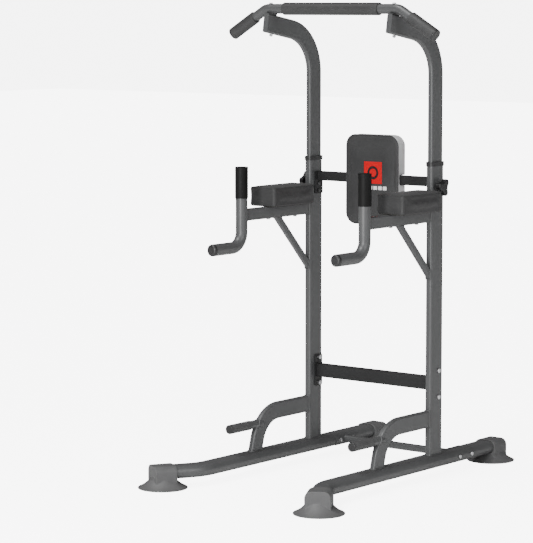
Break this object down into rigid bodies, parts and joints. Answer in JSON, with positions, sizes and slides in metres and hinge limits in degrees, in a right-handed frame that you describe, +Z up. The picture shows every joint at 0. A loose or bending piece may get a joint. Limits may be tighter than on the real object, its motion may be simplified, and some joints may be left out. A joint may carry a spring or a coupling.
{
  "type": "power tower",
  "caption": "Free-standing power tower with a height-adjustable pull-up bar, dip handles, arm pads, a backrest, foot pegs and suction-cup feet.",
  "frame": {"origin": "on the floor, under the centre of the overall bounding box", "axes": "+X to the user's left as the user stands facing out from the backrest (across the tower), +Y from front to rear, +Z up"},
  "size_m": [0.9762, 1.414, 1.8089],
  "materials": {
    "frame_paint": "fine-textured dark grey powder coat",
    "crossbar_paint": "satin near-black powder coat",
    "foot_rubber": "moulded rubber, matt",
    "grip_rubber": "smooth rubber sleeve",
    "sleeve_rubber": "smooth grey rubber sleeve",
    "grip_foam": "closed-cell foam",
    "black_plastic": "moulded plastic, satin",
    "knob_plastic": "moulded plastic, satin",
    "pad_vinyl": "grained vinyl over foam",
    "board_wood": "plain plywood",
    "badge_print": "printed patch with a plain geometric figure",
    "bolt_black": "black-finished screws",
    "bolt_steel": "zinc-plated steel"
  },
  "bodies": {
    "frame": {"arm_pad_boards": "board_wood", "arm_pad_bolts": "bolt_steel", "backrest_badge": "badge_print", "backrest_bar": "crossbar_paint", "backrest_board": "board_wood", "backrest_bolts": "bolt_steel", "backrest_cushion": "pad_vinyl", "clamp_nuts": "bolt_steel", "crossbar_bolts": "bolt_steel", "crossbar_nuts": "bolt_steel", "end_plate_screws": "bolt_black", "handle_plugs": "black_plastic", "left_arm": "frame_paint", "left_arm_pad": "pad_vinyl", "left_base_tube": "frame_paint", "left_brace": "frame_paint", "left_collar": "black_plastic", "left_front_foot": "foot_rubber", "left_handle": "frame_paint", "left_handle_grip": "grip_rubber", "left_lower_post": "frame_paint", "left_peg": "frame_paint", "left_peg_sleeve": "sleeve_rubber", "left_rear_foot": "foot_rubber", "left_strut": "frame_paint", "lower_crossbar": "crossbar_paint", "peg_plugs": "black_plastic", "rear_tube": "frame_paint", "rear_tube_bolts": "bolt_steel", "rear_tube_nuts": "bolt_steel", "right_arm": "frame_paint", "right_arm_pad": "pad_vinyl", "right_base_tube": "frame_paint", "right_brace": "frame_paint", "right_collar": "black_plastic", "right_front_foot": "foot_rubber", "right_handle": "frame_paint", "right_handle_grip": "grip_rubber", "right_lower_post": "frame_paint", "right_peg": "frame_paint", "right_peg_sleeve": "sleeve_rubber", "right_rear_foot": "foot_rubber", "right_strut": "frame_paint"},
    "upper_frame": {"left_neck": "frame_paint", "right_neck": "frame_paint", "bar_saddles": "frame_paint", "pull_up_bar": "frame_paint", "neck_caps": "frame_paint", "centre_grip": "grip_foam", "left_wing_grip": "grip_foam", "right_wing_grip": "grip_foam", "bar_end_caps": "black_plastic", "guide_shoes": "black_plastic", "bar_bolts": "bolt_steel", "bar_nuts": "bolt_steel"},
    "left_clamp_stud": {"left_knob_stud": "bolt_steel"},
    "left_clamp_knob": {"left_knob": "knob_plastic"},
    "right_clamp_stud": {"right_knob_stud": "bolt_steel"},
    "right_clamp_knob": {"right_knob": "knob_plastic"}
  },
  "joints": [
    {"name": "height_adjust", "type": "slide", "parent": "frame", "child": "upper_frame", "axis": [0, 0, 1], "range_m": [-0.1, 0.3]},
    {"name": "left_clamp_travel", "type": "slide", "parent": "frame", "child": "left_clamp_stud", "axis": [-1, 0, 0], "range_m": [0, 0.003]},
    {"name": "left_clamp_turn", "type": "hinge", "parent": "left_clamp_stud", "child": "left_clamp_knob", "pos_m": [-0.33, 0.212, 1.111], "axis": [-1, 0, 0], "range_deg": [0, 720]},
    {"name": "right_clamp_travel", "type": "slide", "parent": "frame", "child": "right_clamp_stud", "axis": [1, 0, 0], "range_m": [0, 0.003]},
    {"name": "right_clamp_turn", "type": "hinge", "parent": "right_clamp_stud", "child": "right_clamp_knob", "pos_m": [0.33, 0.212, 1.111], "axis": [1, 0, 0], "range_deg": [0, 720]}
  ],
  "couplings": [
    {"joint": "left_clamp_travel", "follows": "left_clamp_turn", "m_per_rad": 0.00023873},
    {"joint": "right_clamp_travel", "follows": "right_clamp_turn", "m_per_rad": 0.00023873}
  ]
}
